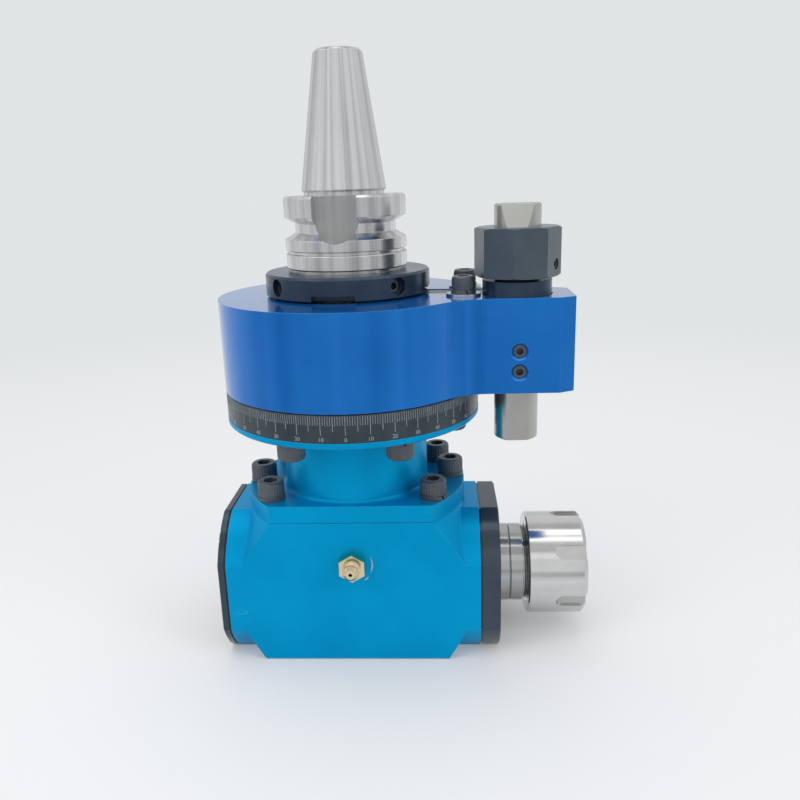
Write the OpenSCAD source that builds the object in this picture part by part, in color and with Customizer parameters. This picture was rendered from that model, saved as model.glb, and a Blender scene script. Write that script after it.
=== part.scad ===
// Right-angle milling head for a machining centre.
// A taper shank turns a bevel gear pair inside a gear block, and a collet spindle leaves it sideways.
// An arm with a sprung stop pin keeps the body still and can be set to any angle on a dial.
// Frame: millimetres, +Z up along the tool axis, the block's flat foot on z = 0, spindle along +X.

/* [Gear block] */
// across the flats of the gear block and its end barrels
block_d = 62; // [60:0.5:66]
// width of the middle of the block
block_w = 86; // [84:0.5:92]
// how much the round of the end barrels stands past their flats, on the diameter
barrel_round = 6; // [4:0.5:7]
// height of the spindle axis above the foot
axis_z = 27.2; // [27:0.1:31]
// tool axis to the rear end of the block
rear_end = 50; // [49:0.5:56]
// tool axis to the front end of the block
front_end = 49.4; // [47.6:0.2:54]
// width of the sloped cut at each foot corner
foot_cut_w = 6.4; // [3:0.2:9]
// height of the sloped cut at each foot corner
foot_cut_h = 11; // [8:0.5:18]
// slope of the turned shoulder under the neck flange, degrees from upright
shoulder_angle = 28; // [20:1:34]

/* [Covers] */
// thickness of the front cover
front_cover_t = 7.8; // [7:0.2:12]
// thickness of the rear cover
rear_cover_t = 3.4; // [3:0.2:7]
// width of the groove left open between each barrel and its cover
cover_groove = 0.8; // [0.4:0.1:1]

/* [Neck] */
// diameter of the lower neck flange
flange_d = 88; // [87:0.5:94]
// thickness of the lower neck flange
flange_t = 7; // [6:0.5:10]
// outside diameter of the neck
neck_d = 58; // [56:0.5:60]
// height of the neck between its flanges
neck_h = 29; // [28:0.5:38]
// thickness of the rim below the dial
rim_t = 2.4; // [2:0.2:5]
// height of the graduated dial
dial_t = 10.3; // [8:0.1:12]
// round in the corner where the neck meets its lower flange
neck_round = 1.6; // [1:0.2:3]
// how far the dial stands inside the rim
dial_inset = 0.1; // [0:0.05:0.4]

/* [Arm] */
// diameter of the round part of the arm, dial and rim
arm_d = 100; // [99:0.5:108]
// height of the arm
arm_t = 34.8; // [34:0.2:42]
// stop pin from the tool axis along the arm
pin_x = 63.8; // [62:0.2:72]
// stop pin from the tool axis across the arm
pin_off = 13; // [12.5:0.5:15]
// width of the block around the stop pin
pin_block_w = 27.5; // [27.5:0.5:32]
// stop pin to the end face of the arm
pin_to_end = 20; // [17:0.5:26]
// hollow radius where the round part meets the pin block
web_r = 22; // [16:1:28]

/* [Stop pin] */
// diameter of the stop pin
pin_d = 16.5; // [14:0.5:17]
// how far the pin can be pressed down
pin_stroke = 5; // [3:0.5:5]
// across the flats of the eight-sided pin nut
pin_nut_flat = 29; // [27:0.5:31]
// height of the pin nut
pin_nut_h = 17.6; // [12:0.2:19]
// height of the tip above the pin nut
pin_tip_h = 8.1; // [7:0.1:12]
// diameter of the pin sleeve
sleeve_d = 25.4; // [24.6:0.2:25.6]
// how far the pin shows below the arm
pin_drop = 20.2; // [16:0.2:28]

/* [Lock ring] */
// outside diameter of the lock ring
ring_d = 63; // [62:0.5:66]
// height of the lock ring
ring_t = 8.6; // [8:0.2:11]
// width of the four notches in the lock ring
notch_w = 16; // [14:0.5:18]

/* [Taper shank] */
// taper diameter at the gauge line
gauge_d = 31.75; // [31.5:0.25:33]
// taper length above the gauge line
taper_l = 48.4; // [46:0.2:52]
// diameter of the gripper flange
grip_d = 46; // [46:0.5:48]
// bottom diameter of the gripper groove
groove_d = 38; // [36:0.5:40]
// width of the two drive keyways
keyway_w = 16.1; // [14:0.1:16.5]
// hole for the pull stud thread
stud_d = 10.2; // [8:0.2:11]

/* [Spindle and collet nut] */
// diameter of the spindle nose and its thread
nose_d = 32; // [31.5:0.1:33]
// mouth diameter of the collet taper
collet_d = 26; // [25:0.2:26.4]
// outside diameter of the collet nut
nut_d = 42; // [41:0.5:46]
// length of the collet nut
nut_l = 23.5; // [23:0.5:28]
// width of the six spanner slots in the collet nut
slot_w = 6.2; // [5:0.2:8]

/* [Bevel gears] */
// teeth on each gear
gear_teeth = 16; // [14:2:18]
// pitch radius at the large end of the teeth
gear_r = 16; // [15.5:0.1:16.4]
// part of the cone length the teeth cover
gear_face = 0.31; // [0.25:0.01:0.33]
// play between meshing teeth
gear_play = 0.45; // [0.3:0.05:0.7]

/* [Fits] */
// radial clearance of running fits
run_fit = 0.05; // [0.02:0.01:0.08]
// radial clearance of parts seated on one another
seat_fit = 0.02; // [0.01:0.01:0.04]
// free gap between parts that move past one another
free_gap = 0.35; // [0.3:0.05:0.4]

/* [Hidden] */
$fn = 64;
e = 0.01;
// heights
block_h = axis_z + block_d / 2 + 1.2;
flange_top = block_h + flange_t;
rim_bot = flange_top + neck_h;
rim_top = rim_bot + rim_t;
dial_top = rim_top + dial_t;
arm_bot = dial_top + 0.3;
arm_top = arm_bot + arm_t;
ring_bot = arm_top + 0.4;
ring_top = ring_bot + ring_t;
collar_bot = ring_top + 1.2;
gauge_z = collar_bot + 28.5;
taper_top = gauge_z + taper_l;
grip_bot = gauge_z - 21.8;
// radii
flange_r = flange_d / 2;
neck_r = neck_d / 2;
arm_r = arm_d / 2;
step_r = arm_r - 6;
dial_r = arm_r - dial_inset;
barrel_d = block_d + barrel_round;
ring_r = ring_d / 2;
hub_r = grip_d / 2 - 1;
grip_r = grip_d / 2;
pin_r = pin_d / 2;
tip_r = pin_r + 0.25;
sleeve_r = sleeve_d / 2;
nose_r = nose_d / 2;
// bolt circle of the arm bolts, and the spigot inside it that carries the upper bearing
arm_bolt_r = arm_r - 10;
spigot_r = arm_bolt_r - 4;
// ball bearings: bore, outside, width
upper_in = hub_r - 4.5;
upper_out = spigot_r - 5;
upper_w = 14;
lower_in = 20 / 2;
lower_out = 42 / 2;
lower_w = 12;
front_in = 25 / 2;
front_out = 47 / 2;
front_w = 12;
rear_in = 15 / 2;
rear_out = 35 / 2;
rear_w = 11;
// bearing places
lower_z = flange_top - 2.5;
upper_z = dial_top + 2.8;
spigot_top = upper_z + upper_w + 2;
front_x = front_end - 1 - 2 * front_w;
rear_x = -rear_end + 4;
chamber_r = 22;
// neck bolts
bolt_r = 3;
neck_bolt_r = flange_r - 5.5;
neck_bolt_angles = [-35, 3, 31, 145, 183, 215];
neck_bolt_grip = block_h - axis_z - front_out - 1.6;
washer_t = 1.6;
washer_r = bolt_r * 1.77;
// arm bolts and the T nuts they pull on
arm_bolt_angles = [0, 60, 120, 180, 240, 300];
arm_lock_t = 2.2;
lip_t = 4.1;
lip_r = step_r - 1;
tee_r = lip_r + 3.5;
tee_top = arm_bot + 10.5;
// arm outline
near_y = -pin_off - pin_block_w / 2;
far_y = -pin_off + pin_block_w / 2;
arm_end = pin_x + pin_to_end;
near_c = [sqrt(pow(arm_r + web_r - 0.03, 2) - pow(web_r - near_y - 0.03, 2)), near_y - web_r + 0.03];
far_r = web_r * 0.7;
far_c = [sqrt(pow(arm_r + far_r - 0.03, 2) - pow(far_r + far_y - 0.03, 2)), far_y + far_r - 0.03];
lip_top = spigot_top + 0.3;
throat_r = ring_r - 1;
// stop pin heights
pocket_floor = arm_top - 7 - pin_stroke;
spring_floor = pocket_floor - 4;
key_bot = pocket_floor + pin_stroke + 0.4;
key_top = arm_top - 0.3;
sleeve_top = arm_top + 5.3;
pin_nut_bot = sleeve_top + 1.2;
pin_nut_top = pin_nut_bot + pin_nut_h;
pin_top = pin_nut_top + pin_tip_h;
pin_bot = arm_bot - pin_drop;
pin_flat = pin_r - 1.1;
guide_z = [arm_bot + 7.9, spring_floor - 3.3];
guide_r = 2.5;
ring_mouth = 2.4;
cup_r = sleeve_r - 1.4;
disc_t = 0.7;
disc_count = 10;
disc_h = (sleeve_top - 2 - spring_floor) / disc_count;
// lock key and its screws, in the key's own direction
key_angle = -6;
key_w = 12;
key_in = throat_r - 1.5;
key_out = pin_x - sleeve_r * 0.6;
key_screws = [[pin_x - sleeve_r - 5.7, -(key_w / 2 + 4.7)], [arm_r - 5.6, key_w / 2 + 4.5]];
arm_washer_r = 6.4;
arm_washer_t = 0.9;
lock_washer_t = 1.2;
// rotor angle in which the head stands
rotor_angle = -4;
// gripper groove and small end of the taper
groove_half = 1.7;
groove_flank = (grip_r - groove_d / 2) * tan(30);
taper_end_r = (gauge_d - taper_l * 7 / 24) / 2;
// spindle and nut along X, from the tool axis
cover_face = front_end + front_cover_t;
nut_x = cover_face + 12;
nose_end = nut_x + nut_l - 10;
collet_slope = tan(8);
collet_l = nose_end - front_end - 10;
// covers
cover_screw_r = barrel_d / 2 - 4.2;
nipple_z = axis_z + 14.9;
// bevel gears
gear_add = gear_r * 0.075;
gear_ded = gear_r * 0.1;
toe = gear_r * (1 - gear_face);
drive_hub_top = lower_z - axis_z;
gear_bore = rear_in;

// places a shape drawn along +Z so that it runs along +X on the spindle axis
module along_x(x) {
    translate([x, 0, axis_z]) rotate([0, 90, 0]) children();
}

// places a shape at a polar place round the tool axis
module polar(r, a) {
    rotate([0, 0, a]) translate([r, 0, 0]) children();
}

// flat ring or tube standing on z = 0
module tube(r_out, r_in, h) {
    rotate_extrude() translate([r_in, 0]) square([r_out - r_in, h]);
}

// socket head cap screw, head standing on z = 0, thread below
module cap_screw(r, len) {
    head_r = r * 5 / 3;
    difference() {
        rotate_extrude() polygon([[0, -len], [r - 0.4, -len], [r, -len + 0.6], [r, 0], [head_r, 0],
            [head_r, 2 * r - 0.5], [head_r - 0.5, 2 * r], [0, 2 * r]]);
        translate([0, 0, r]) cylinder(h = r + 1, r = r * 0.96, $fn = 6);
    }
}

// headless set screw from z = 0 up, socket in its top
module set_screw(r, len) {
    difference() {
        rotate_extrude() polygon([[0, 0], [r - 0.5, 0], [r, 0.5], [r, len - 0.3], [r - 0.3, len], [0, len]]);
        translate([0, 0, len - r]) cylinder(h = r + 1, r = r * 0.58, $fn = 6);
    }
}

// countersunk screw, head flush with z = 0, thread below
module flush_screw(r, len) {
    difference() {
        rotate_extrude() polygon([[0, -len], [r, -len], [r, -r], [2 * r - 0.1, 0], [0, 0]]);
        translate([0, 0, -r * 0.9]) cylinder(h = r, r = r * 0.7, $fn = 6);
    }
}

// outer ring of a ball bearing standing on z = 0
module outer_ring(r_in, r_out, w) {
    mid = (r_in + r_out) / 2;
    ball = (r_out - r_in) * 0.3;
    rotate_extrude() difference() {
        translate([mid + ball * 0.62, 0]) square([r_out - mid - ball * 0.62 - seat_fit, w]);
        translate([mid, w / 2]) circle(r = ball + 0.1);
    }
}

// inner ring of a ball bearing standing on z = 0
module inner_ring(r_in, r_out, w) {
    mid = (r_in + r_out) / 2;
    ball = (r_out - r_in) * 0.3;
    rotate_extrude() difference() {
        translate([r_in + seat_fit, 0]) square([mid - ball * 0.72 - r_in - seat_fit, w]);
        translate([mid, w / 2]) circle(r = ball + free_gap);
    }
}

// balls held in their cage
module ball_cage(r_in, r_out, w, count) {
    mid = (r_in + r_out) / 2;
    ball = (r_out - r_in) * 0.3;
    for (i = [0 : count - 1]) polar(mid, i * 360 / count) translate([0, 0, w / 2]) sphere(r = ball);
    translate([0, 0, w / 2 - ball * 0.8]) tube(mid + 0.6, mid - 0.6, ball * 1.6);
}

// end view of the barrels and covers
module barrel_shape(inset) {
    intersection() {
        circle(d = barrel_d - 2 * inset);
        translate([-block_d / 2 + inset, -block_d / 2 + inset])
            square([block_d / 2 + axis_z - 2 * inset, block_d - 2 * inset]);
    }
}

// places four children on the corners of the covers, drawn along +Z
module cover_corners() {
    for (a = [45, 135, 225, 315]) polar(cover_screw_r, a) children();
}

// middle of the block seen from the front
module block_front() {
    h = block_w / 2;
    polygon([[-h + foot_cut_w, 0], [h - foot_cut_w, 0], [h, foot_cut_h], [h, block_h], [-h, block_h],
        [-h, foot_cut_h]]);
}

// bar on its edge along the front and the back of the block, which breaks an edge there
module edge_bar(level, size) {
    for (s = [-1, 1]) translate([0, s * block_d / 2, level]) rotate([45, 0, 0])
        cube([2 * block_w, size, size], center = true);
}

module gear_housing() color("DeepSkyBlue") difference() {
    union() {
        intersection() {
            translate([0, block_d / 2, 0]) rotate([90, 0, 0]) linear_extrude(block_d) block_front();
            cylinder(h = block_h, r1 = flange_r + block_h * tan(shoulder_angle), r2 = flange_r);
        }
        along_x(-rear_end) linear_extrude(rear_end + front_end) barrel_shape(0);
    }
    along_x(front_x) cylinder(h = 2 * front_w + 2, r = front_out);
    along_x(-28) cylinder(h = 28 + front_x + e, r = chamber_r);
    along_x(rear_x + rear_w - e) cylinder(h = rear_end, r = rear_out - 3.5);
    along_x(-rear_end - 1) cylinder(h = 5 + rear_w, r = rear_out);
    translate([0, 0, axis_z]) cylinder(h = block_h, r = chamber_r - 0.5);
    translate([0, 0, block_h - 3.3]) cylinder(h = 4, r = lower_out + 3);
    for (a = neck_bolt_angles) polar(neck_bolt_r, a) translate([0, 0, block_h - neck_bolt_grip - 0.4])
        cylinder(h = neck_bolt_grip + 1, r = bolt_r + seat_fit);
    along_x(front_end - 10) cover_corners() cylinder(h = 11, r = 2 + seat_fit);
    along_x(-rear_end - 1) cover_corners() cylinder(h = 11, r = 2 + seat_fit);
    translate([0, -block_d / 2 - 1, nipple_z]) rotate([-90, 0, 0])
        cylinder(h = block_d / 2 - 12, r = 3 + seat_fit);
    edge_bar(0, 1);
    edge_bar(block_h, 0.45);
}

// profile of the neck, turned round the tool axis
module neck_profile() {
    polygon([[0, block_h - 3], [lower_out + 3 - seat_fit, block_h - 3], [lower_out + 3 - seat_fit, block_h],
        [neck_r, block_h], [neck_r, rim_bot], [arm_r - 0.6, rim_bot], [arm_r, rim_bot + 0.6],
        [arm_r, rim_top], [step_r, rim_top], [step_r, dial_top], [spigot_r, dial_top],
        [spigot_r, spigot_top], [0, spigot_top]]);
    difference() {
        translate([neck_r - 1, flange_top - 1]) square(neck_round + 1);
        translate([neck_r + neck_round, flange_top + neck_round]) circle(r = neck_round);
    }
}

module neck_body() color("DeepSkyBlue") difference() {
    union() {
        intersection() {
            translate([0, 0, block_h]) cylinder(h = flange_t, r = flange_r);
            translate([-flange_r, -block_d / 2, block_h]) cube([flange_d, block_d, flange_t]);
        }
        rotate_extrude() neck_profile();
    }
    translate([0, 0, block_h - 4]) cylinder(h = lower_z + lower_w - block_h + 4, r = lower_out);
    translate([0, 0, lower_z - 1.7]) cylinder(h = 1.7 - 0.1, r = lower_out + 1.3);
    translate([0, 0, lower_z]) cylinder(h = upper_z - lower_z, r = lower_out - 3);
    translate([0, 0, rim_bot - 4]) cylinder(h = upper_z - rim_bot + 4 + e, r = neck_r - 4);
    translate([0, 0, upper_z]) cylinder(h = 40, r = upper_out);
    for (a = neck_bolt_angles) polar(neck_bolt_r, a) translate([0, 0, block_h - 1])
        cylinder(h = flange_t + 2, r = bolt_r + 0.2);
    for (a = arm_bolt_angles) polar(arm_bolt_r, a) translate([0, 0, rim_bot - 1])
        cylinder(h = dial_top - rim_bot + 2, r = bolt_r + 0.2);
    edge_bar(block_h, 0.45);
}

module dial_ring() color("DimGray") translate([0, 0, rim_top]) rotate_extrude()
    polygon([[step_r + seat_fit, 0], [dial_r, 0], [dial_r, dial_t - 0.4], [dial_r - 0.4, dial_t],
        [step_r + seat_fit, dial_t]]);

// ring with a T section that the clamp nuts are cut from
module tee_ring() {
    rotate_extrude() polygon([[spigot_r + 0.5, dial_top + 0.4], [lip_r - free_gap, dial_top + 0.4],
        [lip_r - free_gap, arm_bot + lip_t + 0.1], [tee_r - free_gap, arm_bot + lip_t + 0.1],
        [tee_r - free_gap, tee_top - 0.5], [spigot_r + 0.5, tee_top - 0.5]]);
}

module clamp_nuts() color("SlateGray") for (a = arm_bolt_angles) rotate([0, 0, a]) difference() {
    intersection() {
        tee_ring();
        translate([arm_bolt_r - 10, -7, dial_top]) cube([20, 14, 20]);
    }
    translate([arm_bolt_r, 0, dial_top]) cylinder(h = 20, r = bolt_r + seat_fit);
}

module arm_bolts() color("DarkSlateGray") for (a = arm_bolt_angles) polar(arm_bolt_r, a)
    translate([0, 0, rim_bot - arm_lock_t]) rotate([180, 0, 0])
        cap_screw(bolt_r, tee_top - 1 - rim_bot + arm_lock_t);

module arm_bolt_washers() color("DarkSlateGray") for (a = arm_bolt_angles) polar(arm_bolt_r, a)
    translate([0, 0, rim_bot - arm_lock_t]) difference() {
        tube(bolt_r * 5 / 3, bolt_r + 0.15, arm_lock_t);
        translate([3, -0.4, -1]) rotate([25, 0, 0]) cube([6, 0.8, 6]);
    }

module neck_bolts() color("DarkSlateGray") for (a = neck_bolt_angles) polar(neck_bolt_r, a)
    translate([0, 0, flange_top + washer_t]) cap_screw(bolt_r, flange_t + washer_t + neck_bolt_grip);

module neck_washers() color("DarkSlateGray") for (a = neck_bolt_angles) polar(neck_bolt_r, a)
    translate([0, 0, flange_top]) difference() {
        tube(washer_r, bolt_r + 0.15, washer_t);
        translate([3, -0.4, -1]) rotate([25, 0, 0]) cube([6, 0.8, 6]);
    }

module front_cover() color("DimGray") along_x(front_end) difference() {
    union() {
        linear_extrude(front_cover_t) barrel_shape(0.8);
        translate([0, 0, cover_groove]) linear_extrude(front_cover_t - cover_groove - 0.5) barrel_shape(0.15);
        translate([0, 0, -1]) cylinder(h = 2, r = front_out - 0.1);
    }
    translate([0, 0, -2]) cylinder(h = front_cover_t + 3, r = nose_r + 0.5);
    translate([0, 0, -2]) cylinder(h = 4, r = front_out - 3.5);
    translate([0, 0, 1.5]) cylinder(h = front_cover_t - 3, r = nose_r + 4);
    cover_corners() translate([0, 0, -1]) cylinder(h = front_cover_t + 2, r = 2.2);
    cover_corners() translate([0, 0, front_cover_t - 2.2]) cylinder(h = 2.21, r1 = 2.05, r2 = 4.2);
}

module rear_cover() color("DimGray") along_x(-rear_end - rear_cover_t) difference() {
    union() {
        linear_extrude(rear_cover_t) barrel_shape(0.8);
        translate([0, 0, 0.5]) linear_extrude(rear_cover_t - cover_groove - 0.5) barrel_shape(0.15);
        translate([0, 0, rear_cover_t - 1]) cylinder(h = 2, r = rear_out - 0.1);
    }
    translate([0, 0, rear_cover_t - 1.2]) cylinder(h = 3, r = rear_out - 3);
    cover_corners() translate([0, 0, -1]) cylinder(h = rear_cover_t + 2, r = 2.2);
    cover_corners() translate([0, 0, -0.01]) cylinder(h = 2.21, r1 = 4.2, r2 = 2.05);
}

module front_cover_screws() color("Silver") along_x(cover_face - 0.1) cover_corners()
    flush_screw(2, front_cover_t + 8);

module rear_cover_screws() color("Silver") along_x(-rear_end - rear_cover_t + 0.1) cover_corners()
    rotate([180, 0, 0]) flush_screw(2, rear_cover_t + 8);

module grease_nipple() color("Gold") translate([0, -block_d / 2, nipple_z])
    rotate([90, 0, 0]) difference() {
    union() {
        rotate([0, 0, 30]) cylinder(h = 4, r = 5.6, $fn = 6);
        translate([0, 0, -8]) cylinder(h = 9, r = 3);
        rotate_extrude() polygon([[0, 3.5], [3.4, 3.5], [3.4, 4.6], [2.4, 5.2], [2.2, 6], [3.1, 6.8],
            [3.1, 7.4], [1.8, 8.6], [0, 8.6]]);
    }
    translate([0, 0, -9]) cylinder(h = 30, r = 0.7);
}

module spindle_seal() color("Black") along_x(front_end + 1.5) rotate_extrude()
    polygon([[nose_r + free_gap, 1.5], [nose_r + 1.5, 0], [nose_r + 4 - seat_fit, 0],
        [nose_r + 4 - seat_fit, front_cover_t - 3], [nose_r + 1.5, front_cover_t - 3],
        [nose_r + free_gap, front_cover_t - 4.5]]);

module shank_outer_rings() color("Silver") {
    translate([0, 0, upper_z]) outer_ring(upper_in, upper_out, upper_w);
    translate([0, 0, lower_z]) outer_ring(lower_in, lower_out, lower_w);
}

module shank_ball_cages() color("Goldenrod") {
    translate([0, 0, upper_z]) ball_cage(upper_in, upper_out, upper_w, 10);
    translate([0, 0, lower_z]) ball_cage(lower_in, lower_out, lower_w, 8);
}

module spindle_outer_rings() color("Silver") {
    along_x(front_x) outer_ring(front_in, front_out, front_w);
    along_x(front_x + front_w) outer_ring(front_in, front_out, front_w);
    along_x(rear_x) outer_ring(rear_in, rear_out, rear_w);
}

module spindle_ball_cages() color("Goldenrod") {
    along_x(front_x) ball_cage(front_in, front_out, front_w, 9);
    along_x(front_x + front_w) ball_cage(front_in, front_out, front_w, 9);
    along_x(rear_x) ball_cage(rear_in, rear_out, rear_w, 7);
}

module bearing_circlip() color("DarkGray") translate([0, 0, lower_z - 1.6]) difference() {
    tube(lower_out + 1.2, lower_out - 2, 1.5);
    translate([0, -4, -1]) cube([40, 8, 5]);
}

// turned outline of the whole shank from the gear seat to the taper
module shank_profile() {
    polygon([[0, axis_z + toe + 0.5], [gear_bore - 0.5, axis_z + toe + 0.5], [gear_bore, axis_z + toe + 1],
        [gear_bore, lower_z], [lower_in, lower_z], [lower_in, lower_z + lower_w],
        [lower_in + 2.5, lower_z + lower_w], [lower_in + 2.5, upper_z - 8], [upper_in - 0.5, upper_z - 8],
        [upper_in - 0.5, upper_z], [upper_in, upper_z], [upper_in, upper_z + upper_w],
        [hub_r, upper_z + upper_w + 0.5], [hub_r, ring_top + 0.3], [hub_r - 1, ring_top + 0.3],
        [hub_r - 1, collar_bot],
        [grip_r - 0.4, collar_bot], [grip_r, collar_bot + 0.4], [grip_r, grip_bot - 1.4],
        [grip_r - 0.3, grip_bot - 1.1],
        [grip_r - 1.2, grip_bot - 1.1], [grip_r - 1.2, grip_bot], [grip_r - 0.3, grip_bot],
        [grip_r, grip_bot + 0.3],
        [grip_r, gauge_z - 13.6 - groove_half - groove_flank], [groove_d / 2, gauge_z - 13.6 - groove_half],
        [groove_d / 2, gauge_z - 13.6 + groove_half], [grip_r, gauge_z - 13.6 + groove_half + groove_flank],
        [grip_r, gauge_z - 2.8], [grip_r - 0.8, gauge_z - 2], [gauge_d / 2 - 0.8, gauge_z - 2],
        [gauge_d / 2 - 0.8, gauge_z - 0.8], [gauge_d / 2, gauge_z], [taper_end_r + 0.15, taper_top - 1],
        [taper_end_r - 0.9, taper_top], [stud_d / 2 + 1.2, taper_top], [stud_d / 2, taper_top - 1.2],
        [stud_d / 2, taper_top - 30], [0, taper_top - 33]]);
}

module taper_shank() color("LightGray") rotate([0, 0, rotor_angle]) difference() {
    rotate_extrude() shank_profile();
    for (a = [90, 270]) rotate([0, 0, a]) {
        translate([16.3, 0, grip_bot + 3 + keyway_w / 2]) rotate([0, 90, 0])
            cylinder(h = 20, r = keyway_w / 2);
        translate([16.3, -keyway_w / 2, grip_bot + 3 + keyway_w / 2]) cube([20, keyway_w, 40]);
    }
    translate([0, 0, axis_z + drive_hub_top - 7]) rotate([0, 90, 0])
        cylinder(h = 60, r = 2 + seat_fit, center = true);
}

module lock_ring() color("DimGray") rotate([0, 0, rotor_angle]) difference() {
    translate([0, 0, ring_bot]) rotate_extrude() polygon([[hub_r + seat_fit, 0], [ring_r - 0.5, 0],
        [ring_r, 0.5], [ring_r, ring_t - 0.8], [ring_r - 0.8, ring_t], [hub_r + 0.6, ring_t],
        [hub_r + seat_fit, ring_t - 0.6]]);
    for (a = [0, 90, 180, 270]) rotate([0, 0, a]) translate([ring_r - 5, -notch_w / 2, ring_bot - 1])
        cube([10, notch_w, 3.2]);
    for (a = [45, 135, 225, 315]) rotate([0, 0, a]) translate([0, 0, ring_bot + ring_t / 2])
        rotate([0, 90, 0]) {
            cylinder(h = 60, r = 2.5 + seat_fit);
            translate([0, 0, ring_r - ring_mouth]) cylinder(h = 60, r = 3.3);
        }
}

module lock_ring_screws() color("DarkSlateGray") for (a = [45, 135, 225, 315]) rotate([0, 0, a + rotor_angle])
    translate([hub_r + seat_fit, 0, ring_bot + ring_t / 2]) rotate([0, 90, 0])
        set_screw(2.5, ring_r - hub_r - ring_mouth - 0.4);

module shank_inner_rings() color("Silver") {
    translate([0, 0, upper_z]) inner_ring(upper_in, upper_out, upper_w);
    translate([0, 0, lower_z]) inner_ring(lower_in, lower_out, lower_w);
}

module shank_lock_nut() color("SlateGray") translate([0, 0, upper_z - 7]) difference() {
    tube(upper_in + 4.5, upper_in - 0.5 + seat_fit, 7);
    for (a = [0, 90, 180, 270]) polar(upper_in + 3, a) translate([0, -2.5, -1]) cube([5, 5, 9]);
}

// outline of the teeth across the gear axis at the large end
module gear_outline() {
    half = 180 * gear_r / gear_teeth * PI / 180 / 2 - gear_play / 2;
    r_tip = gear_r + gear_add;
    r_root = gear_r - gear_ded;
    a_tip = (half - gear_add * tan(25)) / r_tip * 180 / PI;
    a_root = (half + gear_ded * tan(18)) / r_root * 180 / PI;
    polygon([for (i = [0 : gear_teeth - 1], k = [0 : 3])
        let (c = i * 360 / gear_teeth, r = k == 0 || k == 3 ? r_root : r_tip,
            a = c + (k == 0 ? -a_root : k == 1 ? -a_tip : k == 2 ? a_tip : a_root))
        [r * cos(a), r * sin(a)]]);
}

// bevel gear with its cone point at the origin and its hub up the Z axis
module bevel_gear(hub_top) {
    difference() {
        union() {
            translate([0, 0, gear_r]) mirror([0, 0, 1])
                linear_extrude(height = gear_r - toe, scale = toe / gear_r) gear_outline();
            rotate_extrude() polygon([[0, toe + 0.5], [toe * 0.8, toe + 0.5], [gear_r * 0.8, gear_r - 0.5],
                [gear_r * 0.86, gear_r],
                [gear_r * 0.86, gear_r + 2], [12.5, gear_r + 3.5], [12.5, hub_top], [0, hub_top]]);
        }
        translate([0, 0, -1]) cylinder(h = 60, r = gear_bore + seat_fit);
    }
}

module drive_gear() color("SlateGray") translate([0, 0, axis_z]) difference() {
    bevel_gear(drive_hub_top);
    translate([0, 0, drive_hub_top - 7]) rotate([0, 0, rotor_angle]) rotate([0, 90, 0])
        cylinder(h = 60, r = 2 + seat_fit, center = true);
}

module drive_gear_pin() color("Silver") translate([0, 0, axis_z + drive_hub_top - 7])
    rotate([0, 0, rotor_angle]) rotate([0, 90, 0]) cylinder(h = 24, r = 2, center = true);

module spindle() color("LightGray") difference() {
    along_x(0) rotate_extrude() polygon([[0, -rear_end + 0.6], [rear_in - 0.5, -rear_end + 0.6],
        [rear_in, -rear_end + 1.1],
        [rear_in, front_x - 1], [front_in, front_x - 0.5], [front_in, front_end - 1],
        [nose_r - 0.3, front_end - 0.7],
        [nose_r, front_end - 0.4], [nose_r, cover_face + 4.7], [nose_r - 0.8, cover_face + 5],
        [nose_r, cover_face + 5.3],
        [nose_r, nut_x - 1.8], [nose_r - 1.6, nut_x - 1.8], [nose_r - 1.6, nut_x + 0.5],
        [nose_r - 0.1, nut_x + 1.2],
        [nose_r - 0.1, nose_end - 0.6], [nose_r - 0.7, nose_end], [collet_d / 2, nose_end],
        [collet_d / 2 - collet_l * collet_slope, nose_end - collet_l],
        [collet_d / 2 - collet_l * collet_slope - 0.2, nose_end - collet_l],
        [collet_d / 2 - collet_l * collet_slope - 0.2, front_end - 6], [0, front_end - 11]]);
    translate([front_x - 4, 0, axis_z]) cylinder(h = 40, r = 1.5 + seat_fit, center = true);
}

module spindle_gear() color("SlateGray") difference() {
    along_x(0) rotate([0, 0, 180 / gear_teeth]) bevel_gear(front_x - 1);
    translate([front_x - 4, 0, axis_z]) cylinder(h = 40, r = 1.5 + seat_fit, center = true);
}

module spindle_gear_pin() color("Silver") translate([front_x - 4, 0, axis_z])
    cylinder(h = 24, r = 1.5, center = true);

module spindle_inner_rings() color("Silver") {
    along_x(front_x) inner_ring(front_in, front_out, front_w);
    along_x(front_x + front_w) inner_ring(front_in, front_out, front_w);
    along_x(rear_x) inner_ring(rear_in, rear_out, rear_w);
}

module rear_lock_nut() color("SlateGray") along_x(-rear_end + 0.8) difference() {
    tube(rear_in + 4, rear_in + seat_fit, 3.2);
    for (a = [0, 90, 180, 270]) polar(rear_in + 2.6, a) translate([0, -1.5, -1]) cube([5, 3, 5]);
}

module extractor_ring() color("Silver") along_x(nut_x + nut_l - 7.4) rotate_extrude()
    polygon([[collet_d / 2 - 1.2, 0], [nose_r - 1.9, 0], [nose_r - 1.9, 3.3], [collet_d / 2 - 2.6, 3.3],
        [collet_d / 2 - 2.6, 1.4]]);

module collet_nut() color("LightGray") along_x(nut_x) difference() {
    rotate_extrude() polygon([[nose_r - 0.02, 0.6], [nose_r + 0.6, 0], [nut_d / 2 - 0.6, 0], [nut_d / 2, 0.6],
        [nut_d / 2, nut_l - 1.6], [nut_d / 2 - 1.6, nut_l], [collet_d / 2 - 0.6, nut_l],
        [collet_d / 2 - 2.1, nut_l - 1.6], [collet_d / 2 - 2.1, nut_l - 4],
        [nose_r - 1.5, nut_l - 4], [nose_r - 1.5, nut_l - 8], [nose_r - 0.02, nut_l - 8]]);
    for (i = [0 : 5]) rotate([0, 0, 53.5 + 60 * i]) translate([nut_d / 2 - 3.2, 0, nut_l - 9.5]) {
        rotate([0, 90, 0]) cylinder(h = 10, r = slot_w / 2);
        translate([0, -slot_w / 2, 0]) cube([10, slot_w, 20]);
    }
}

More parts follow.
